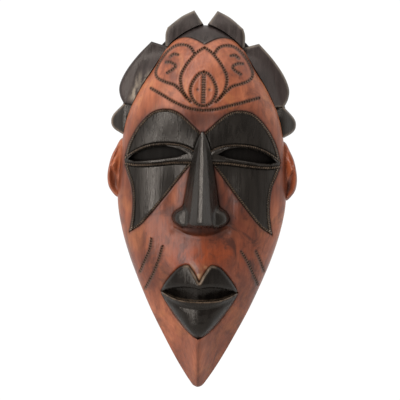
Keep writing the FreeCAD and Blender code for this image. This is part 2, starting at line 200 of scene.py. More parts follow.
def lumps(x, z, size_x, size_z, seed):
    """Smooth random values from -1 to 1, with lumps of the given size."""
    table = np.random.default_rng(seed).uniform(-1, 1, (64, 64))
    u, v = x / size_x + 100, z / size_z + 100
    i, j = np.floor(u).astype(int), np.floor(v).astype(int)
    s, t = ease(0, 1, u - i), ease(0, 1, v - j)
    low, high = (table[i % 64, k % 64] * (1 - s) + table[(i + 1) % 64, k % 64] * s for k in (j, j + 1))
    return low * (1 - t) + high * t


# ---- the face block ----
lower_half_width = profile(HALF_WIDTH)
upper_square = profile([(z, w * w) for z, w in HALF_WIDTH_TOP])
centre_depth = profile(CENTRE_DEPTH)
edge_depth = profile(EDGE_DEPTH)


def half_width(z):
    z = np.asarray(z, float)
    blunt = np.sqrt(np.clip(1 - ((CHIN_CUT + CHIN_ROUND - z) / CHIN_ROUND).clip(0) ** 2, 0.03, 1))
    upper = np.sqrt(np.maximum(upper_square(z), 0))
    return np.where(z < HALF_WIDTH[-1][0], lower_half_width(z) * blunt, upper)


def face_depth(x, z):
    """Distance from the wall to the plain face, a dome that turns into two planes at the chin."""
    t = np.minimum(np.abs(x) / np.maximum(half_width(z), 0.01), 1)
    dome = np.sqrt(np.maximum(1 - t**2.3, 0))
    ridge = 0.07
    planes = 1 - (np.hypot(t, ridge) - ridge) / (math.hypot(1, ridge) - ridge)
    share = 1 - ease(35, 125, z)
    depth = edge_depth(z) + (centre_depth(z) - edge_depth(z)) * (dome * (1 - share) + planes * share)
    for swell_x, swell_z, radius_x, radius_z, height in FACE_SWELLS:
        depth += height * spot(np.abs(x), z, swell_x, swell_z, radius_x, radius_z) * (1 - t * t)
    return depth


# ---- outlines on the +X side ----
EYE_OUTER = (71.9, 210.5)
SLIT_INNER = (14.5, 216.4)
SLIT_OUTER = (68, 211)
CHEEK_TIP = (65.8, 144)
LIP_CORNER = (35.6, 90.2)
LINES = {
    "brow": [(2.2, 236.5), (8.8, 242.4), (15, 248.2), (21.5, 253.4), (28, 256.2), (34.8, 257), (42, 256),
        (48.2, 253), (54.3, 247.4), (60.2, 240.1), (65, 232), (68.6, 223.5), (71.2, 213.5)],
    "brow_side": [(71.2, 213.5), EYE_OUTER],
    "cheek_side": [EYE_OUTER, (71.2, 205.6)],
    "lid": [(71.2, 213.5), (66, 217.2), (60, 220.6), (54, 223.2), (47, 225.2), (39, 226.2), (30, 226.3),
        (20, 225.2), (12, 222.6), (7, 219.8)],
    "slit_top": [SLIT_OUTER, (62, 216), (54, 219.8), (45, 222.2), (36, 223), (28, 222.2), (21, 220.2),
        SLIT_INNER],
    "slit_bottom": [SLIT_INNER, (20.5, 214.6), (28, 213.2), (36.5, 212), (45.5, 210.8), (54, 209.8),
        (62, 209.4), SLIT_OUTER],
    "slit_out": [SLIT_OUTER, EYE_OUTER],
    "slit_in": [SLIT_INNER, (7.4, 214)],
    "band": [(71.2, 205.6), (62.5, 204.3), (54, 204.4), (45.5, 205), (36.5, 205.9), (27.5, 207),
        (19, 207.4), (9.6, 207.4)],
    "cheek_outer": [(71.2, 205.6), (68.4, 197), (65, 188), (63.2, 177), (63, 166), (63.9, 155), CHEEK_TIP],
    "cheek_inner": [CHEEK_TIP, (56, 150.2), (46.6, 160.6), (38, 171.2), (29.5, 182), (22, 192.2),
        (14.6, 201.6), (9.6, 207.4)],
    "nose": [(0.7, 237.2), (3.4, 232), (6.4, 224), (8.6, 215), (12.2, 195), (15.2, 175), (17.2, 160),
        (17.6, 152.5), (16.4, 149.2)],
    "wing": [(16.4, 149.4), (22.4, 152.2), (25.9, 157.4), (23.6, 163.6), (17.6, 167.6), (15.9, 170)],
    "lip_top": [LIP_CORNER, (32.2, 97), (27.7, 103.4), (20.8, 111.4), (14.8, 114.6), (9.6, 114.4),
        (4.6, 107.6), (0, 99.2)],
    "mouth_top": [(0, 92.6), (7, 93.9), (16.5, 93.8), (26.5, 92.2), LIP_CORNER],
    "mouth_bottom": [(0, 81.4), (10, 81.8), (19.5, 83), (27.5, 85.9), LIP_CORNER],
    "lip_bottom": [LIP_CORNER, (34, 85), (30, 78.2), (22.8, 67.4), (14.8, 57.4), (7, 50), (0, 45.8)],
    "crown": [(46, 306), (38, 313.6), (30.5, 320.4), (24, 323.6), (17.3, 324.6), (9.3, 322.6), (0, 317.8)],
}
SIDES = (("right", 1), ("left", -1))
lines = {(key, side): curve(points) * (sign, 1) for key, points in LINES.items() for side, sign in SIDES}


def outline(side, *keys):
    """The closed outline made of these lines, each turned the way that continues the last."""
    path = lines[keys[0], side]
    for key in keys[1:]:
        line = lines[key, side]
        if np.abs(line[-1] - path[-1]).sum() < np.abs(line[0] - path[-1]).sum():
            line = line[::-1]
        path = np.vstack([path, line[1:]])
    return path


def both_sides(*keys):
    return mirrored(outline("right", *keys))


# ---- grooves cut into the brown wood: points, half width, depth, whether mirrored ----
GROOVES = {
    "side petal": ([(9.5, 309.6), (13.6, 315), (21, 317.2), (28.5, 315.4), (35.4, 309.5), (40.8, 302),
        (44, 295), (44.4, 289.2), (41.2, 284.9), (34, 281.7), (26.6, 279.2), (21.9, 275.2), (17.4, 270.4),
        (11.6, 264.6)], 1.5, 1.8, True),
    "centre petal": ([(0.6, 314.2), (6.8, 309.8), (13, 302.7), (18, 295.3), (20.7, 289), (21.2, 282.9),
        (19.2, 274.8), (14.8, 267.3)], 1.5, 1.8, True),
    "seed": ([(0.3, 291.8), (5, 289.4), (9.6, 282.8), (12, 275.4), (10, 267.4), (5.4, 262.2),
        (0.3, 260.6)], 1.55, 1.7, True),
    "seed rib": ([(0.9, 289), (0.9, 276), (0.9, 263.4)], 1.2, 1.4, True),
    "brow arc": ([(-48.4, 276.2), (-38.9, 270.8), (-26.4, 263.7), (-13.9, 258.6), (-1.5, 256.8),
        (10.9, 257.7), (23.2, 261), (36.5, 264.8), (50.9, 269.4)], 1.55, 1.9, False),
    "scroll head": ([(24.4, 307.6), (28.2, 308.2), (31.6, 305.6)], 1.45, 1.6, True),
    "scroll": ([(35.2, 300.6), (30.6, 300.4), (26.4, 297.4), (28.2, 294.2),
        (33.6, 290.6)], 1.45, 1.6, True),
    "left outer scar": ([(-44.9, 137.7), (-46.4, 128), (-50.9, 117.3), (-55.4, 106.5)], 1.35, 1.6, False),
    "left inner scar": ([(-34.7, 131.2), (-37.4, 120.5), (-42.4, 106.8), (-50.3, 91.6)], 1.35, 1.6, False),
    "right inner scar": ([(37.9, 128.1), (44.7, 117.1), (49.6, 106.6), (53.4, 97.8)], 1.35, 1.6, False),
    "right outer scar": ([(51.5, 128.4), (55.2, 120.3), (59, 110)], 1.35, 1.6, False),
}
grooves = []
for points, half, deep, paired in GROOVES.values():
    line = curve(points)
    grooves.append((line, half, deep))
    if paired:
        grooves.append((flipped(line), half, deep))
DOTS = [(5.4, 275.5), (-5.4, 275.5)]


# ---- plans: triangulated layouts seen from the front ----
class Plan:
    """Points and lines in a plane, joined into triangles. Lines become edges of triangles."""

    def __init__(self, border, flatten=lambda x, z: x, restore=lambda u, z: u):
        self.border, self.flatten, self.restore = border, flatten, restore
        self.points, self.edges, self.cells = [], [], defaultdict(list)
        self.line(border, closed=True)

    def put(self, u, z):
        self.points.append((u, z))
        self.cells[int(u // 2), int(z // 2)].append((u, z))
        return len(self.points) - 1

    def scatter(self, us, zs, gap):
        """Points wherever there is room for them."""
        for u, z in zip(us.tolist(), zs.tolist()):
            i, j = int(u // 2), int(z // 2)
            close = (p for di in (-1, 0, 1) for dj in (-1, 0, 1) for p in self.cells[i + di, j + dj])
            if all((p[0] - u) ** 2 + (p[1] - z) ** 2 >= gap * gap for p in close):
                self.put(u, z)

    def line(self, path, closed=False):
        """The path as edges of triangles."""
        placed = [self.put(u, z) for u, z in zip(self.flatten(*path.T).tolist(), path[:, 1].tolist())]
        self.edges += list(zip(placed, placed[1:]))
        if closed:
            self.edges.append((placed[-1], placed[0]))

    def rows(self, path, offsets, gap=0.3):
        """Rows of points on both sides of the path."""
        along = np.gradient(path, axis=0)
        across = np.stack([-along[:, 1], along[:, 0]], 1) / np.hypot(*along.T)[:, None]
        for offset in offsets:
            for way in (1, -1):
                row = path + across * (offset * way)
                kept = row[inside(self.border, *row.T)]
                self.scatter(self.flatten(*kept.T), kept[:, 1], gap)

    def fill(self, step, region=None):
        """A staggered field of points over a region, or over the whole plan."""
        area = self.border if region is None else region
        flat = self.flatten(*area.T)
        zs = np.arange(area[:, 1].min(), area[:, 1].max(), step * 0.866)
        u, z = np.meshgrid(np.arange(flat.min() - step, flat.max() + step, step), zs)
        u = u + (np.arange(len(zs)) % 2)[:, None] * step / 2
        u, z = u.ravel(), z.ravel()
        jitter = rng.uniform(-0.12, 0.12, (2, len(u))) * step
        u, z = u + jitter[0], z + jitter[1]
        x = self.restore(u, z)
        there = np.abs(self.flatten(x, z) - u) < 1e-6
        u, z, x = u[there], z[there], x[there]
        chosen = inside(area, x, z)
        self.scatter(u[chosen], z[chosen], step * 0.62)

    def join(self):
        points = [Vector(p) for p in self.points]
        places, _, triangles, *_ = delaunay_2d_cdt(points, self.edges, [], 0, 1e-5)
        u, z = np.array([tuple(p) for p in places]).T
        self.x, self.z = self.restore(u, z), z
        triangles = np.array(triangles)
        cu, cz = u[triangles].mean(1), z[triangles].mean(1)
        flat_border = np.column_stack([self.flatten(*self.border.T), self.border[:, 1]])
        kept = inside(flat_border, cu, cz)
        self.triangles, self.cx, self.cz = triangles[kept], self.restore(cu, cz)[kept], cz[kept]


def solid(name, plan, top, bottom, marks, material, chosen=slice(None), bottom_mark=None):
    """A closed piece over the chosen triangles of a plan. Top and bottom give the depth at each triangle's
    corners, and marks the shader's values at the plan's points."""
    columns = list(zip(plan.triangles[chosen].tolist(), np.round(top[chosen], 4).tolist(),
                       np.round(bottom[chosen], 4).tolist()))
    levels = defaultdict(set)
    for corners, highs, lows in columns:
        for v, high, low in zip(corners, highs, lows):
            levels[v].update((high, low))
    levels = {v: sorted(found) for v, found in levels.items()}
    index, plan_point, depth, is_low, faces = {}, [], [], [], []

    def vertex(v, level, low=False):
        if (v, level) not in index:
            index[v, level] = len(depth)
            plan_point.append(v)
            depth.append(level)
            is_low.append(low)
        return index[v, level]

    sides = defaultdict(list)
    for corners, highs, lows in columns:
        faces.append([vertex(v, high) for v, high in zip(corners, highs)])
        faces.append([vertex(v, low, True) for v, low in zip(corners, lows)][::-1])
        for k, m in ((0, 1), (1, 2), (2, 0)):
            if corners[k] > corners[m]:
                k, m = m, k
            sides[corners[k], corners[m]].append(((highs[k], highs[m]), (lows[k], lows[m])))
    for ends, found in sides.items():
        # an outer side has one wall, and an inner side one between its tops and one between its bottoms
        for one, other in found if len(found) == 1 else zip(*found):
            rise, fall = ([level for level in levels[v] if min(a, b) <= level <= max(a, b)]
                          for v, a, b in zip(ends, one, other))
            if len(rise) + len(fall) > 2:
                faces.append([vertex(ends[0], level) for level in rise]
                             + [vertex(ends[1], level) for level in fall[::-1]])
    plan_point, depth, is_low = np.array(plan_point), np.array(depth), np.array(is_low)
    places = np.column_stack([plan.x[plan_point], -depth, plan.z[plan_point] - NAIL_HEIGHT]) / 1000
    piece = mesh_piece(name, places, faces, material)
    for mark, values in marks.items():
        set_mark(piece, mark, np.where(is_low, 0, values[plan_point]))
    if bottom_mark:
        set_mark(piece, bottom_mark, [is_low[corners].all() for corners in faces], "FACE")


def place(name, data):
    """A new object in the scene."""
    thing = bpy.data.objects.new(name, data)
    bpy.context.scene.collection.objects.link(thing)
    return thing


def mesh_piece(name, places, faces, material):
    """A smooth-shaded object on the mask's body, which stands for the CAD node of its name."""
    mesh = bpy.data.meshes.new(name + "_carved")
    mesh.from_pydata(places.tolist(), [], faces)
    work = bmesh.new()
    work.from_mesh(mesh)
    bmesh.ops.recalc_face_normals(work, faces=work.faces)
    work.to_mesh(mesh)
    work.free()
    mesh.shade_smooth()
    mesh.set_sharp_from_angle(angle=math.radians(38))
    mesh.materials.append(material)
    piece = place(name + "_carved", mesh)
    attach(piece, "mask")
    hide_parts(name)
    return piece


def set_mark(piece, mark, values, domain="POINT"):
    attribute = piece.data.attributes.new(mark, "FLOAT", domain)
    attribute.data.foreach_set("value", np.asarray(values, np.float32))


# ---- the plan of the face ----
def arc_flat(x, z):
    """Arc length round the face from its middle line, which spreads its steep sides."""
    w = np.maximum(half_width(z), 0.5)
    return np.sign(x) * (w * np.arcsin(np.minimum(np.abs(x) / w, 1)) + np.maximum(np.abs(x) - w, 0))


def arc_round(u, z):
    w = np.maximum(half_width(z), 0.5)
    return np.sign(u) * w * np.sin(np.minimum(np.abs(u) / w, math.pi / 2))


def face_edge(low, high, step=EDGE_STEP):
    """Points up the +X side of the face's outline."""
    zs = np.linspace(low, high, 400)
    return evenly(np.column_stack([half_width(zs), zs]), step, math.floor)


def face_border():
    side = face_edge(CHIN_CUT, BLOCK_TOP)
    top, low = side[-1], side[0]
    return np.vstack([side, straight(top, flipped(top))[1:-1], flipped(side)[::-1],
                      straight(flipped(low), low)[1:-1]])


def hollow_outline():
    """The edge of the hollow in the back, with rounded ends."""
    around = np.linspace(-math.pi / 2, math.pi / 2, 421)
    middle, reach = (HOLLOW_LOW + HOLLOW_HIGH) / 2, (HOLLOW_HIGH - HOLLOW_LOW) / 2
    z = middle + reach * np.sign(np.sin(around)) * np.abs(np.sin(around)) ** 0.45
    x = (half_width(z) - WALL_THICKNESS) * np.abs(np.cos(around)) ** 0.3
    right = curve(np.column_stack([x, z])[::6], EDGE_STEP)
    return np.vstack([right, flipped(right)[::-1][1:-1]])


def box_outline(half, low, high):
    return np.array([(-half, low), (half, low), (half, high), (-half, high)], float)


HOLLOW = hollow_outline()
RECESS = box_outline(RECESS_HALF, RECESS_LOW, RECESS_HIGH)
RECESS_EDGE = np.vstack([straight(a, b)[:-1] for a, b in zip(RECESS, np.roll(RECESS, -1, axis=0))])
LIPS = mirrored(np.vstack([lines["lip_top", "right"][::-1], lines["lip_bottom", "right"]]))
FOREHEAD = np.array([(-52, 288), (-22, 326), (22, 326), (52, 288), (52, 264), (0, 252), (-52, 272)], float)
WINGS, UNDER_NOSE = box_outline(27, 148, 171), box_outline(28, 136, 150)
DETAILED = [both_sides("nose"), WINGS, UNDER_NOSE, LIPS, FOREHEAD]
PANEL_LINES = ("brow", "brow_side", "cheek_side", "cheek_outer", "cheek_inner")
PANELS = [outline(side, *PANEL_LINES) for side, _ in SIDES]


def make_face_plan():
    plan = Plan(face_border(), arc_flat, arc_round)
    for line in lines.values():
        plan.line(line)
    plan.line(HOLLOW, closed=True)
    plan.line(RECESS_EDGE, closed=True)
    for (key, side), line in lines.items():
        if key in ROPE_WIDTHS:
            plan.rows(line, (0.6, 1.2, 1.8, 2.4))
        elif key not in ("brow_side", "cheek_side", "slit_in", "slit_out"):
            plan.rows(line[::2], (0.7, 1.5, 2.6), 0.45)
    for line, half, _ in grooves:
        plan.rows(line, (0, 0.45 * half, half))
    nose_ridge = curve([(0, 240), (0, 200), (0, 150)], 0.9)
    plan.rows(nose_ridge, (0, 0.7, 1.5), 0.4)
    chin_ridge = curve([(0, 46), (0, 20), (0, 2)], 1.2)
    plan.rows(chin_ridge, (0, 0.9, 2), 0.5)
    for region in DETAILED:
        plan.fill(DETAIL_STEP, region)
    for region in PANELS:
        plan.fill(PANEL_STEP, region)
    plan.fill(FACE_STEP)
    plan.join()
    return plan


face = make_face_plan()

# ---- which triangle belongs to which piece ----
CROWN_REGION = np.vstack([lines["crown", "right"], lines["crown", "left"][::-1], [(-46, 345), (46, 345)]])
OUTLINES = {"brow_panel": ("brow", "lid"), "cheek_panel": ("cheek_outer", "cheek_inner", "band"),
            "upper_eyelid": ("lid", "slit_in", "slit_top", "slit_out", "brow_side"),
            "lower_eyelid": ("band", "slit_in", "slit_bottom", "slit_out", "cheek_side"),
            "eye": ("slit_top", "slit_bottom"), "nose_wing": ("wing",)}
REGIONS = {"hair_cap": CROWN_REGION, "upper_lip": both_sides("mouth_top", "lip_top"),
           "lower_lip": both_sides("mouth_bottom", "lip_bottom"),
           "mouth": both_sides("mouth_top", "mouth_bottom")}
for side, _ in SIDES:
    for kind, keys in OUTLINES.items():
        REGIONS[f"{kind}_{side}"] = outline(side, *keys)
REGIONS["nose_bridge"] = both_sides("nose")
owner = np.full(len(face.triangles), "face_shell", dtype="U24")
for name, region in REGIONS.items():
    owner[inside(region, face.cx, face.cz)] = name

# ---- relief: the depth of every part of the face at the plan's points ----
X, Z = face.x, face.z
AWAY = np.abs(X)
PLAIN = face_depth(X, Z)
HAND = 0.32 * lumps(X, Z, 15, 24, 1) + 0.13 * lumps(X, Z, 5.5, 8, 2)  # the carver's unevenness
gaps = {key: near(line, X, Z, 7) for key, line in lines.items()}


def gap(key, side=None):
    """Distance to an outline, on one side or on the nearer of both."""
    if side:
        return gaps[key, side][0]
    return np.minimum(gaps[key, "right"][0], gaps[key, "left"][0])


def rope(key, side):
    """Height from 0 to 1 of a twisted cord carved along an outline, on one side of it."""
    distance, along = gaps[key, side]
    half = ROPE_WIDTHS[key] / 2
    across = np.nan_to_num((distance - half) / half, posinf=9)
    strand = 0.5 + 0.5 * np.cos(2 * math.pi * (along / ROPE_PITCH + 0.45 * across))
    return np.sqrt(np.maximum(1 - across**2, 0)) * (0.35 + 0.65 * strand)


def bevel(key, width, height, side=None):
    """How much an edge is eased, near its outline."""
    return height * np.maximum(1 - gap(key, side) / width, 0) ** 2


def hatch(distance, along):
    """Nicks across a groove, from 0.24 between them to 1 in them."""
    slant = 0.5 * np.nan_to_num(distance, posinf=0)
    return 0.62 + 0.38 * np.cos(2 * math.pi * (along + slant) / HATCH_PITCH)


NOSE_FOLD = curve([(-25, 148.5), (-13, 143), (0, 141), (13, 143.2), (25, 148.8)], 1)


def brown_depth():
    """The face with its cuts, a scoop and a fold under the nose, and a rise between the lip's peaks."""
    depth = PLAIN + HAND
    for line, half, deep in grooves:
        distance, along = near(line, X, Z, 4)
        depth -= deep * np.maximum(1 - (distance / half) ** 2, 0) * hatch(distance, along)
        depth += 0.25 * fade(distance - 1.7 * half, 0.7)
    for x, z in DOTS:
        depth -= 1.1 * spot(X, Z, x, z, 1.1, 1.1)
    for key in (*PANEL_LINES, "nose", "wing", "lip_top", "lip_bottom"):
        depth -= bevel(key, 1.3, 0.8)
    depth -= bevel("crown", 1.2, 0.9)
    scoop = ease(137, 147, Z) * ease(156, 149, Z) * ease(30, 22, AWAY)
    fold = fade(near(NOSE_FOLD, X, Z, 8)[0], 1.4)
    rise = 5 * fade(X, 9) * ease(124, 100, Z)
    return depth - 1.6 * scoop + 1.3 * fold + rise


def panel_depth(side, *ropes):
    """A smooth black panel sunk a little, with a carved rope along its outer outlines."""
    depth = PLAIN + 0.5 * HAND - 0.8
    for key in ropes:
        depth += ROPE_HEIGHT * rope(key, side)
    for key in ("lid", "band", "nose"):
        depth -= bevel(key, 1.6, 0.9, side)
    return depth


def lid_depth(side, far, slit):
    """A raised band between the eye slit and the panel, with a rope on the panel's side."""
    out, slot, width = gap(far, side), gap(slit, side), ROPE_WIDTHS[far]
    across = (np.nan_to_num(out, posinf=7) - width) / (np.nan_to_num(out + slot, posinf=9) - width)
    smooth = 1.8 * (1 - np.abs(2 * np.clip(across, 0, 1) - 1) ** 3)
    return PLAIN + 0.3 + np.where(out < width, ROPE_HEIGHT * rope(far, side), smooth)


def eye_depth(sign):
    ball = np.maximum(1 - ((X * sign - 42) / 27) ** 2 - ((Z - 216) / 9) ** 2, 0)
    return PLAIN - EYE_FLOOR + 2.2 * np.sqrt(ball)


NOSE_LOW, NOSE_HIGH = 149.2, 237.2
NOSE_HALF = profile([(NOSE_LOW, 16.4), (152.5, 17.6), (160, 17.2), (175, 15.2), (195, 12.2), (215, 8.6),
    (232, 3.4), (NOSE_HIGH, 0.9)])
NOSE_RISE = profile([(NOSE_LOW, 24), (151.5, 28.5), (160, 30.5), (175, 27.5), (195, 20.5), (215, 12.5),
    (232, 4.2), (NOSE_HIGH, 0.6)])
SHOULDER = 0.52  # where the nose's two slopes meet, as a share of its half width


def soft_max(a, b, width):
    """The larger of two values, with a rounded change between them."""
    share = np.clip(0.5 + (a - b) / (2 * width), 0, 1)
    return b + (a - b) * share + width * share * (1 - share)


def nose_depth():
    """A roof of two steep planes on each side of a narrow ridge, which flares into the wings."""
    half, rise = NOSE_HALF(Z), NOSE_RISE(Z)
    middle, side = face_depth(0 * X, Z), face_depth(half, Z)
    u = AWAY / half
    ridge, shoulder, foot = middle + rise + 0.6, middle + 0.68 * rise, side + 0.14 * rise
    upper = ridge + (shoulder - ridge) * (u / SHOULDER)
    lower = shoulder + (foot - shoulder) * ((u - SHOULDER) / (1 - SHOULDER))
    facet = ridge - 1.3 - 0.07 * half + 0.27 * (X + 0.4)  # the ridge is planed off, facing a little left
    roof = -soft_max(-np.where(u < SHOULDER, upper, lower), -facet, 0.25)
    out, up = (AWAY - 14.5) / 12.6, (Z - 157) / 13
    flare = PLAIN + 1 + 12 * np.exp(-((out**2 + up**2) ** 2))
    under = 1 - np.sqrt(np.maximum(1 - np.maximum(1 - (Z - NOSE_LOW) / 4, 0) ** 2, 0))
    return soft_max(roof, flare, 3) - 4 * under + 0.3 * HAND


LOWER_LIP_RISE = profile([(45.8, 0.5), (48, 3.4), (52, 7.4), (57, 9.3), (64, 8.8), (72, 8), (82, 9),
    (92, 8.5)])
LOWER_LIP_HALF = profile([(z, max(x, 0.5)) for x, z in reversed(LINES["lip_bottom"])])
LIP_CREASE = curve([(-31, 84.5), (-22, 79), (-11, 75.2), (0, 73.8), (11, 75.2), (22, 79), (31, 84.5)], 1)
LIP_SLOPE = 0.26


def upper_lip_depth():
    across = 1 - (np.hypot(X, 2) - 2) / 40
    depth = PLAIN + 2.2 + 10.5 * across * (1 - ease(91, 122, Z)) + 0.3 * HAND
    return depth - bevel("lip_top", 3, 2.6) - bevel("mouth_top", 4.5, 3.2)


def lower_lip_depth():
    """Two gentle planes that meet in the middle and roll over at the lip's edge, under a shallow crease."""
    half = LOWER_LIP_HALF(Z)
    middle, edge = face_depth(0 * X, Z) + 1 + LOWER_LIP_RISE(Z), face_depth(half, Z) + 1.5
    planes = LIP_SLOPE * (np.hypot(X, 4) - 4)
    roll = (middle - edge - LIP_SLOPE * half) * np.minimum(AWAY / half, 1) ** 4.5
    crease = fade(near(LIP_CREASE, X, Z, 8)[0], 2.4)
    rim = fade(gap("mouth_bottom") - 1.3, 1)
    depth = middle - planes - roll + 1.3 * HAND - 2 * crease + 0.7 * rim
    return depth - bevel("mouth_bottom", 3, 2.4) - bevel("lip_bottom", 2.2, 1.6)


def hollow_depth():
    """Inside of the back: parallel to the front, with steep rounded walls and gouge marks."""
    w = np.maximum(half_width(Z), WALL_THICKNESS + 1.5)
    inner = face_depth(X / (1 - WALL_THICKNESS / w), Z) - WALL_THICKNESS
    edge = np.minimum(near(np.vstack([HOLLOW, HOLLOW[:1]]), X, Z, 16)[0], HOLLOW_ROUND)
    wall = np.sqrt(np.maximum(1 - (1 - edge / HOLLOW_ROUND) ** 2, 0))
    row = np.floor(Z / 19 + 0.5 * lumps(X, Z, 30, 30, 5))
    across = X / 8.5 + 0.37 * row + 0.3 * lumps(X, Z, 12, 25, 6)
    scallop = (2 * (across - np.floor(across)) - 1) ** 2
    return np.maximum(inner * wall - 0.7 * scallop * ease(2, 8, edge), 0)


depths = {"face_shell": brown_depth(), "hair_cap": PLAIN + 0.5 * HAND + 0.2 - bevel("crown", 1.2, 0.9),
          "nose_bridge": nose_depth(), "upper_lip": upper_lip_depth(), "lower_lip": lower_lip_depth(),
          "mouth": PLAIN - MOUTH_FLOOR}
for side, sign in SIDES:
    paired = {"brow_panel": panel_depth(side, "brow"),
              "cheek_panel": panel_depth(side, "cheek_outer", "cheek_inner"),
              "upper_eyelid": lid_depth(side, "lid", "slit_top"),
              "lower_eyelid": lid_depth(side, "band", "slit_bottom"), "eye": eye_depth(sign),
              "nose_wing": nose_depth() - bevel("wing", 3, 4)}
    depths |= {f"{kind}_{side}": depth for kind, depth in paired.items()}

# ---- marks for the shaders: 0 to 1 at each point of the plan ----
stains_and_shade, highlight_and_wear_specks = [], []
for line, half, _ in grooves:
    distance, along = near(line, X, Z, 6)
    nicks = hatch(distance, along)
    # painted highlights: tan specks on the raised wood between the nicks
    highlight_and_wear_specks.append(fade(distance, 0.6 * half) * (0.43 - 0.43 * nicks))
    stains_and_shade.append(np.exp(-((distance / (1.1 * half)) ** 4)) * (0.7 + 0.3 * nicks))
stains_and_shade += [spot(X, Z, x, z, 1.3, 1.3) for x, z in DOTS]
for key in ("brow", "cheek_outer", "cheek_inner", "nose", "wing", "crown"):
    stains_and_shade.append(0.8 * fade(gap(key), 1.3))
stains_and_shade += [0.28 * ease(5, 0.5, gap(key)) for key in ("brow", "cheek_outer", "cheek_inner")]
# painted shade: a darker band round the foot of the nose and its wings
stains_and_shade += [0.5 * ease(6.8, 0.5, gap(key)) for key in ("nose", "wing")]
stains_and_shade += [
    # painted shadow under the nose
    0.55 * ease(140, 146, Z) * ease(156, 149, Z) * ease(31, 20, AWAY),  # under the nose
    0.5 * fade(X, 1.5) * ease(46, 38, Z),  # along the ridge of the chin
    0.5 * spot(X, Z, 0, 247, 15, 8),  # between the brows
    inside(CROWN_REGION, X, Z)]
# the notch between the lip's peaks: worn wood with a painted highlight, in tan specks
lip_notch = spot(X, Z, 0, 106, 2.4, 6) + 0.6 * spot(AWAY, Z, 6, 113, 3.5, 3.5)
highlight_and_wear_specks.append(lip_notch * np.clip(0.55 + 0.9 * lumps(X, Z, 1.6, 2.4, 31), 0, 1))
pale = 0.2 + 0.62 * ease(238, 272, Z)
pale -= 0.65 * spot(X, Z, 0, 245, 20, 11) + 0.42 * spot(AWAY, Z, 30, 296, 11, 17)
# painted shade: the right side above the brow darker, as if lit from the left
pale -= 0.12 * ease(-10, 30, X) * ease(285, 270, Z) * ease(58, 48, X)
# painted sheen: the outer sides paler, as white surroundings reflect at a grazing angle
pale += 0.34 * ease(50, 62, AWAY) * (1 - ease(160, 185, Z) * ease(222, 205, Z))
blotch = ease(232, 200, Z) * ease(85, 105, Z) * ease(64, 46, AWAY)
BROWN_MARKS = {"stain": np.max(stains_and_shade, axis=0), "highlight_and_wear_speck": np.max(highlight_and_wear_specks, axis=0),
               "glow": 0.9 * spot(X, Z, 0, 124, 34, 14),  # where the brown is most orange
               "pale": np.clip(pale + 0.25 * ease(105, 70, Z), 0, 1),
               # dark mottling on the cheeks, made stronger on the right as painted shade
               "blotch": np.clip(blotch * (0.75 + 0.35 * ease(-5, 30, X)), 0, 1)}


def rope_rub(*keys):
    """Dye worn off the strands of the ropes along these outlines."""
    return np.max([rope(key, side) for key in keys for side, _ in SIDES], axis=0) ** 4


# painted highlights along the lower lip's upper rim and the edges of the notch in the upper lip
lip_rim_highlight = np.maximum(0.5 * fade(gap("mouth_bottom") - 0.7, 0.5),
                     0.6 * fade(gap("lip_top") - 1.3, 1) * ease(17, 13, AWAY))
rubs_and_highlights = {"brow_panel": rope_rub("brow"), "cheek_panel": rope_rub("cheek_outer", "cheek_inner"),
        "upper_eyelid": rope_rub("lid"), "lower_eyelid": rope_rub("band"), "upper_lip": lip_rim_highlight,
        "lower_lip": lip_rim_highlight}
polish = np.maximum(fade(X, 2.2) * ease(150, 160, Z), 0.35 * ease(120, 116, Z))


# ---- materials ----
class Shader:
    """A node tree built node by node. A value that is an output socket is linked, and any other is set."""

    def __init__(self, owner):
        owner.use_nodes = True
        self.owner, self.tree = owner, owner.node_tree
        self.tree.nodes.clear()

    def node(self, kind, values, **settings):
        node = self.tree.nodes.new("ShaderNode" + kind)
        for setting, value in settings.items():
            setattr(node, setting, value)
        for key, value in values.items():
            if isinstance(value, bpy.types.NodeSocket):
                self.tree.links.new(value, node.inputs[key])
            else:
                node.inputs[key].default_value = value
        return node

    def add(self, kind, out, values, **settings):
        return self.node(kind, values, **settings).outputs[out]

    def noise(self, scale, detail=3, rough=0.55, warp=0):
        """Noise in the frame's own coordinates, scaled along each axis."""
        places = self.add("TexCoord", "Object", {})
        places = self.add("Mapping", "Vector", {"Vector": places, "Scale": scale})
        return self.add("TexNoise", "Fac", {"Vector": places, "Scale": 1, "Detail": detail,
                                            "Roughness": rough, "Distortion": warp})

    def mark(self, name):
        return self.add("Attribute", "Fac", {}, attribute_name=name)

    def math(self, operation, a, b, clamp=False):
        return self.add("Math", "Value", {0: a, 1: b}, operation=operation, use_clamp=clamp)

    def times(self, a, b, clamp=False):
        return self.math("MULTIPLY", a, b, clamp)

    def plus(self, a, b, clamp=False):
        return self.math("ADD", a, b, clamp)

    def rise(self, value, low, high, to_low=0, to_high=1, how="SMOOTHSTEP"):
        return self.add("MapRange", "Result", {"Value": value, "From Min": low, "From Max": high,
                                               "To Min": to_low, "To Max": to_high}, interpolation_type=how)

    def ramp(self, value, *stops):
        out = self.add("ValToRGB", "Color", {"Fac": value})
        elements = out.node.color_ramp.elements
        while len(elements) < len(stops):
            elements.new(1)
        for element, (place, colour) in zip(elements, stops):
            element.position = place
            element.color = (*colour, 1)
        return out

    def blend(self, factor, a, b):
        """Colour a turned into colour b by the factor."""
        to = b if isinstance(b, bpy.types.NodeSocket) else (*b, 1)
        return self.add("Mix", 2, {0: factor, 6: a, 7: to}, data_type="RGBA")

    def bump(self, height, strength, distance, **under):
        values = {"Height": height, "Strength": strength, "Distance": distance, **under}
        return self.add("Bump", "Normal", values)

    def finish(self, **values):
        values = {key.replace("_", " "): value for key, value in values.items()}
        surface = self.add("BsdfPrincipled", "BSDF", values)
        self.node("OutputMaterial", {"Surface": surface})
        return self.owner


def material(name):
    return Shader(bpy.data.materials.new(name))


FIBRE = (620, 620, 46)  # wood fibres run up the mask
PORES = (1500, 1500, 150)


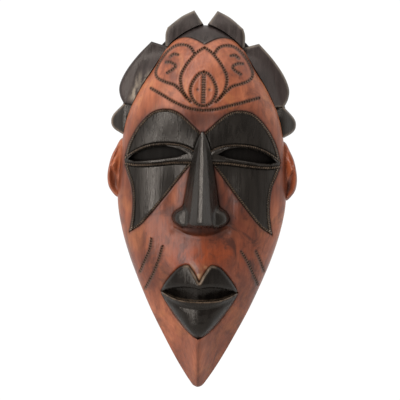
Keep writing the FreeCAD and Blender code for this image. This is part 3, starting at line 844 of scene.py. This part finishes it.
def brown_wood():
    """Stained and waxed brown wood, with more of the staining left in its cuts, and raw wood inside the
    hollow. Its marks also paint shade and highlights into the colour.
    """
    s = material("waxed_brown_wood")
    mottle = s.noise((26, 26, 13), 5, 0.62, 0.8)
    grain = s.noise((210, 210, 12), 5, 0.6, 0.4)
    fibre = s.noise(FIBRE, 3, 0.6)
    pores = s.noise(PORES, 2, 0.7)
    pale, stain, raw_share = s.mark("pale"), s.mark("stain"), s.mark("inside")
    tone = s.plus(s.plus(s.times(mottle, 0.85), s.times(grain, 0.45)), s.times(pale, 0.42))
    colour = s.ramp(tone, (0.5, (0.085, 0.02, 0.01)), (0.7, (0.19, 0.048, 0.021)),
                    (0.9, (0.33, 0.092, 0.04)), (1, (0.44, 0.135, 0.06)))
    honey = s.times(pale, s.rise(s.noise((44, 44, 34), 4, 0.6, 1), 0.5, 0.68))
    smoke = s.rise(s.noise((34, 34, 20), 7, 0.72, 1.6), 0.48, 0.66)
    ember = s.times(s.mark("glow"), s.rise(s.noise((60, 60, 45), 4, 0.6, 1), 0.35, 0.6))
    blotch = s.times(s.rise(s.noise((46, 46, 32), 7, 0.72, 1.4), 0.48, 0.64), s.mark("blotch"))
    for layer, share, tint in (
            (honey, 0.6, (0.5, 0.185, 0.062)), (smoke, 0.52, (0.065, 0.018, 0.011)),
            (ember, 0.9, (0.34, 0.06, 0.012)), (blotch, 0.8, (0.04, 0.012, 0.007)),
            (s.rise(fibre, 0.52, 0.78), 0.35, (0.13, 0.035, 0.018)),
            (s.rise(pores, 0.6, 0.8), 0.4, (0.06, 0.018, 0.01)),
            # near-black for stain in the cuts and for painted shade; tan for painted highlights and the
            # worn notch
            (stain, 1, (0.018, 0.008, 0.006)), (s.mark("highlight_and_wear_speck"), 0.85, (0.4, 0.225, 0.115))):
        colour = s.blend(s.times(layer, share), colour, tint)
    raw = s.ramp(s.plus(s.times(grain, 0.5), s.times(fibre, 0.5)), (0.3, (0.2, 0.105, 0.05)),
                 (0.5, (0.36, 0.21, 0.11)), (0.72, (0.5, 0.32, 0.18)))
    colour = s.blend(raw_share, colour, raw)
    rough = s.plus(s.rise(mottle, 0.3, 0.7, 0.33, 0.47), s.times(stain, 0.15))
    rough = s.plus(rough, s.times(raw_share, 0.4), True)
    relief = s.bump(s.plus(fibre, s.times(pores, 0.6)), 0.3, 0.0006)
    relief = s.bump(s.noise((95, 95, 40), 2), 0.35, 0.0014, Normal=relief)
    return s.finish(Base_Color=colour, Roughness=rough, Normal=relief, Specular_IOR_Level=0.48)


def black_wood(name, base, worn, rough, gloss):
    """Wood dyed black and polished, with fibres showing and paler wood where the dye has worn. The same
    paler colour also paints highlights on the lips' rims and on the left scallop's inner facet.
    """
    s = material(name)
    mottle = s.noise((34, 34, 12), 4, 0.6, 0.5)
    grain = s.noise((260, 260, 15), 4, 0.6, 0.3)
    fibre = s.noise(FIBRE, 3, 0.6)
    pores = s.noise(PORES, 2, 0.7)
    dark, light, strand = (tuple(share * part for part in base) for share in (0.45, 1.7, 2.4))
    tone = s.plus(s.times(mottle, 0.5), s.times(grain, 0.5))
    colour = s.ramp(tone, (0.36, dark), (0.52, base), (0.72, light))
    colour = s.blend(s.times(s.rise(fibre, 0.6, 0.8), 0.5), colour, strand)
    scuff_and_highlight = s.times(s.mark("rub"), s.rise(grain, 0.35, 0.6, 0.35, 1), True)
    colour = s.blend(scuff_and_highlight, colour, worn)
    relief = s.bump(s.plus(fibre, s.times(pores, 0.7)), 0.28, 0.0006)
    relief = s.bump(s.noise((80, 80, 34), 2), 0.3, 0.0014, Normal=relief)
    dull = s.rise(grain, 0.3, 0.7, rough - 0.05, rough + 0.09)
    dull = s.math("SUBTRACT", dull, s.times(s.mark("polish"), 0.13), True)
    return s.finish(Base_Color=colour, Roughness=dull, Normal=relief, Specular_IOR_Level=gloss,
                    Specular_Tint=(1, 0.9, 0.81, 1))


def plated_steel(name, base, tint, rough):
    """Plated steel with cloudy plating, fine scratches and a little tarnish."""
    s = material(name)
    cloud = s.noise((70, 70, 70), 4, 0.6, 0.8)
    scratch = s.noise((2600, 420, 180), 3, 0.7)
    colour = s.ramp(cloud, (0.32, tint), (0.52, base), (0.75, tuple(1.15 * part for part in base)))
    spots = s.rise(s.noise((420, 420, 420), 4, 0.7), 0.62, 0.72)
    colour = s.blend(s.times(spots, 0.6), colour, (0.16, 0.09, 0.05))
    wear = s.plus(s.rise(cloud, 0.3, 0.7, rough - 0.08, rough + 0.12), s.times(spots, 0.25))
    return s.finish(Base_Color=colour, Metallic=0.95, Roughness=wear, Normal=s.bump(scratch, 0.12, 0.0002))


# also the colour of the painted highlights on the lips
WORN_AND_LIT = (0.3, 0.2, 0.13)  # wood that shows where the black dye is rubbed off
BROWN = brown_wood()
BLACK = black_wood("dyed_black_wood", (0.0115, 0.009, 0.0072), WORN_AND_LIT, 0.27, 0.5)
# its paler colour also paints the highlight on the left scallop's inner facet
GREY = black_wood("rubbed_black_wood", (0.036, 0.0255, 0.0235), (0.3, 0.24, 0.18), 0.38, 0.45)
LIP_BLACK = black_wood("lip_black", (0.0095, 0.0072, 0.0058), WORN_AND_LIT, 0.26, 0.34)
# the slits' floors: black dye, made darker than the other black pieces as painted shade deep in the slit
DEEP_BLACK = black_wood("eye_black", (0.003, 0.0022, 0.0018), (0.03, 0.025, 0.02), 0.55, 0.15)
ZINC = plated_steel("zinc_plated_steel", (0.62, 0.62, 0.6), (0.4, 0.39, 0.37), 0.36)
SCREW = plated_steel("screw_steel_brassy", (0.68, 0.55, 0.33), (0.42, 0.33, 0.19), 0.34)
FINISHES = {"eye": DEEP_BLACK, "hair_cap": GREY, "upper_lip": LIP_BLACK, "lower_lip": LIP_BLACK}

# ---- the pieces of the face ----
black_bed = PLAIN - BED


def at_corners(values):
    return values[face.triangles]


def make_shell():
    """The brown block with beds for the black pieces in its front, and the hollow and the recess behind."""
    top = at_corners(depths["face_shell"])
    bedded = owner != "face_shell"
    top[bedded] = at_corners(black_bed)[bedded]
    top[owner == "hair_cap"] = CROWN_BACK
    bottom = np.zeros_like(top)
    hollowed = inside(HOLLOW, face.cx, face.cz)
    bottom[hollowed] = at_corners(hollow_depth())[hollowed]
    bottom[inside(RECESS_EDGE, face.cx, face.cz)] = RECESS_DEPTH
    solid("face_shell", face, top, bottom, BROWN_MARKS, BROWN, bottom_mark="inside")


def make_black_piece(name):
    """A piece let into the brown block. The lower lip also holds the mouth's floor."""
    chosen, top, bottom = owner == name, at_corners(depths[name]), at_corners(black_bed)
    if name == "lower_lip":
        mouth = owner == "mouth"
        top[mouth] = at_corners(depths["mouth"])[mouth]
        chosen = chosen | mouth
    if name == "hair_cap":
        bottom = np.full_like(top, CROWN_BACK)
    kind = name.removesuffix("_left").removesuffix("_right")
    marks = {"rub": rubs_and_highlights.get(kind, 0 * X), "polish": polish}
    solid(name, face, top, bottom, marks, FINISHES.get(kind, BLACK), chosen)


make_shell()
for name in REGIONS:
    if name != "mouth":
        make_black_piece(name)


# ---- the hair and the ears ----
def off_face(path):
    """The part of a path that lies outside the face."""
    return path[path[:, 0] > half_width(path[:, 1]) + 0.15]


def outer_path(runs, step=1.1):
    """An outline outside the face. A run of two points is straight, and a longer one is curved."""
    parts = [straight(*points, step) if len(points) == 2 else curve(points, step) for points in runs]
    return off_face(np.vstack([parts[0]] + [part[1:] for part in parts[1:]]))


def closed_on_face(path):
    """The outline closed along the edge of the face."""
    low, high = sorted((path[0, 1], path[-1, 1]))
    edge = face_edge(low, min(high, BLOCK_TOP), 1.1)
    if path[0, 1] < path[-1, 1]:
        edge = edge[::-1]
    return np.vstack([path, edge])


def plate(name, sign, runs, front, back, finish, reach=2.2, step=1.5, extra=None):
    """A carved slab with a rounded outer edge of this reach, which ends on the edge of the face. The black
    slabs also rest on the band behind them."""
    path = outer_path(runs)
    plan = Plan(closed_on_face(path) * (sign, 1))
    plan.rows(path * (sign, 1), [offset * reach for offset in (0.12, 0.4, 0.75, 1.1)], 0.28)
    plan.fill(step)
    plan.join()
    x, z = plan.x * sign, plan.z
    edge = near(path, x, z, 8)[0]
    drop = reach - np.sqrt(np.maximum(reach**2 - np.maximum(reach - edge, 0) ** 2, 0))
    hand = 0.35 * lumps(x, z, 11, 16, 11 if sign > 0 else 12)
    top = front(x, z) + hand - drop
    bottom = (back + 0.6 * drop)[plan.triangles]
    if finish != BROWN:
        bottom[inside(BAND_BORDER * (sign, 1), plan.cx, plan.cz)] = BAND_THICKNESS
    marks = {"rub": 0.6 * fade(edge - 0.8, 0.9)}
    if extra:
        marks.update(extra(x, z))
    solid(name, plan, top[plan.triangles], bottom, marks, finish)


BAND_EDGE = curve([(0, 337), (16, 335), (31, 327), (40.5, 318.4), (52.5, 305), (63, 289), (70.5, 274.5),
    (75.6, 262), (77.6, 250), (77, BAND_LOW)], 1.5)
BAND_BORDER = closed_on_face(off_face(BAND_EDGE))
TOP_LOBE = [[(2, 337), (10.8, 350)], [(10.8, 350), (22.8, 343.6), (35, 333.4)],
    [(35, 333.4), (36.8, 327), (36.6, 316)]]
SIDE_LOBE = [[(36.8, 316.6), (49.8, 320.4)],
    [(49.8, 320.4), (62.8, 306.6), (73.2, 292.2), (78.6, 279.4), (78, 270), (74, 261.8)],
    [(74, 261.8), (64, 261.8)]]
LOW_LOBE = [[(74.2, 262.6), (83.8, 252.4), (85.8, 245), (82.8, 239), (74, 233.6)]]
EAR = [[(66, 231), (75.5, 230.2), (80.6, 221.8), (85, 212), (87.8, 197.5), (86.8, 186.5), (82.6, 179.4),
    (77, 175), (66, 173.4)]]


def top_front(x, z):
    return 37 - 5 * ease(330, 352, z)


def past_crease(x, z):
    """How far out a point is from the crease of the side scallop."""
    return x + 0.3 * (z - 290) - 64


def side_front(x, z):
    """Two facets that meet in a crease: the inner one rises towards the face."""
    out = past_crease(x, z)
    inner = 0.78 * np.minimum(out, 0) * ease(314, 290, z)
    return np.minimum(28 - inner - 0.2 * np.maximum(out, 0) + 3 * ease(290, 318, z), 38)


def highlight_left(x, z):
    """A painted highlight on the inner facet of the left side scallop, streaked along the grain."""
    facet = ease(1, -5, past_crease(x, z)) * ease(296, 284, z) * ease(262, 270, z)
    return {"rub": facet * np.clip(0.55 + 1.2 * lumps(x, z, 1.4, 7, 41), 0, 1)}


def low_front(x, z):
    return 31 - 10 * ease(72, 88, x) - 4 * ease(250, 264, z)


EAR_RIM = curve([(77, 226.5), (80.6, 219), (84.4, 209.5), (86.2, 198.5), (85.2, 188), (81, 180.6),
    (77.5, 177.5)], 1)
TEMPLE_BUMP = np.vstack([
    curve([(60, 240), (75.5, 230.5), (79, 219), (84.2, 204.5)], 0.8),
    curve([(84.2, 204.5), (82, 199), (79, 192.5), (76.5, 184), (60, 176)], 0.8)[1:]])


def in_bump(x, z):
    """How far a point is into the bump that the temple pushes over the ear, from 0 outside to 1."""
    edge = np.minimum(near(TEMPLE_BUMP, x, z, 6)[0], 6)
    return ease(-1, 1.6, np.where(inside(TEMPLE_BUMP, x, z), edge, -edge))


def ear_front(x, z):
    """A long ear: a thin rim round a shallow hollow, half covered by a bump of the temple."""
    shell = 26.5 - 5 * ((z - 202) / 29) ** 2 + 3.6 * fade(near(EAR_RIM, x, z, 12)[0], 2)
    shell -= 2.5 * spot(x, z, 80.5, 189, 2.6, 7)
    bump = edge_depth(z) + 6.5 * fade(z - 204.5, 9) * ease(0, 7, x - half_width(z)) + 0.6
    share = in_bump(x, z)
    return shell * (1 - share) + np.maximum(bump, shell) * share


def ear_marks(x, z):
    share, rim = in_bump(x, z), fade(near(EAR_RIM, x, z, 12)[0], 2.4)
    # painted shade darkens the hollow below the bump and the ear's upper hollow; painted light makes the
    # temple's bump paler and more orange and the rim paler
    hollows = np.maximum(0.6 * spot(x, z, 80, 189, 3.2, 8), 0.62 * ease(212, 228, z) * (1 - rim))
    return {"stain": hollows * (1 - share), "glow": 0.25 + 0.2 * share,
            "pale": 0.2 + 0.5 * share + 0.3 * rim}


for side, sign in SIDES:
    plate("hair_lobe_top_" + side, sign, TOP_LOBE, top_front, LOBE_BACK, GREY, 3)
    plate("hair_lobe_side_" + side, sign, SIDE_LOBE, side_front, LOBE_BACK, GREY, 3,
          extra=highlight_left if side == "left" else None)
    plate("hair_lobe_low_" + side, sign, LOW_LOBE, low_front, LOBE_BACK, BLACK)
    plate("ear_" + side, sign, EAR, ear_front, EAR_BACK, BROWN, 2.6, 0.9, ear_marks)


def hair_band():
    """The plain band behind the scallops, over the top of the head from temple to temple."""
    right = np.vstack([BAND_EDGE, face_edge(BAND_LOW, BLOCK_TOP, 1.5)])
    plan = Plan(mirrored(right))
    plan.fill(2.5)
    plan.join()
    top = np.minimum(BAND_THICKNESS + 0.3 * lumps(plan.x, plan.z, 9, 14, 21), BAND_THICKNESS)
    solid("hair_band", plan, top[plan.triangles], 0 * plan.triangles, {"rub": 0 * plan.x}, GREY)


hair_band()

# ---- the hanger keeps its CAD shape ----
for node, finish in (("hanger_strap", ZINC), ("hanger_ring", ZINC), ("hanger_screws", SCREW)):
    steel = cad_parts[node]
    steel.data.materials.clear()
    steel.data.materials.append(finish)

# ---- floor, light and camera, in metres ----
TARGET = Vector((-0.0015, -0.030, -0.1414))
DISTANCE = 3.2
VIEW_WIDTH = 0.370
AZIMUTH, LEAN = math.radians(0.9), math.radians(1.3)
FLOOR_HEIGHT, FLOOR_RADIUS = -0.40, 0.48


def floor():
    ground = bpy.data.meshes.new("floor")
    work = bmesh.new()
    bmesh.ops.create_circle(work, cap_ends=True, segments=96, radius=FLOOR_RADIUS)
    work.to_mesh(ground)
    work.free()
    disc = place("floor", ground)
    disc.location = (0, 0, FLOOR_HEIGHT)
    s = material("pale_floor")
    pale = s.ramp(s.noise((6, 6, 6)), (0.3, (0.6, 0.6, 0.59)), (0.7, (0.66, 0.66, 0.65)))
    ground.materials.append(s.finish(Base_Color=pale, Roughness=0.6))


def softbox(name, azimuth, elevation, distance, width, height, power):
    """A rectangular light that faces the mask. Azimuth 0 is in front and 90 on the +X side."""
    light = bpy.data.lights.new(name, "AREA")
    light.shape, light.size, light.size_y = "RECTANGLE", width, height
    light.energy = power
    a, e = math.radians(azimuth), math.radians(elevation)
    out = Vector((math.sin(a) * math.cos(e), -math.cos(a) * math.cos(e), math.sin(e)))
    lamp = place(name, light)
    lamp.location = TARGET + out * distance
    lamp.rotation_mode = "QUATERNION"
    lamp.rotation_quaternion = (-out).to_track_quat("-Z", "Y")


def surroundings():
    """A white studio that is brighter behind the mask than in front of it and dimmer below."""
    s = Shader(bpy.data.worlds.new("studio"))
    parts = s.node("SeparateXYZ", {0: s.add("TexCoord", "Generated", {})}).outputs
    behind = s.rise(parts["Y"], -0.92, 0.15, 0.22, 1.05)
    below = s.rise(parts["Z"], -1, -0.15, 0.4, 1, "LINEAR")
    strength = s.math("MAXIMUM", s.add("LightPath", "Is Camera Ray", {}), s.times(behind, below))
    shade = s.add("Background", "Background", {"Color": (1, 1, 1, 1), "Strength": strength})
    s.node("OutputWorld", {"Surface": shade})
    bpy.context.scene.world = s.owner


def camera():
    lens = bpy.data.cameras.new("camera")
    lens.lens = lens.sensor_width * DISTANCE / VIEW_WIDTH
    eye = place("camera", lens)
    back = Vector((math.sin(AZIMUTH), -math.cos(AZIMUTH), 0))
    across = Vector((math.cos(AZIMUTH), math.sin(AZIMUTH), 0))
    up = Vector((0, 0, 1)) * math.cos(LEAN) - across * math.sin(LEAN)
    turn = Matrix((up.cross(back), up, back)).transposed()
    eye.matrix_world = Matrix.Translation(TARGET + back * DISTANCE) @ turn.to_4x4()
    bpy.context.scene.camera = eye


floor()
surroundings()
softbox("key_left", -29, 13, 1.5, 0.34, 2.4, 22)
softbox("front_top", 0, 62, 1.4, 0.9, 0.5, 4)
camera()
bpy.context.scene.view_settings.view_transform = "Standard"
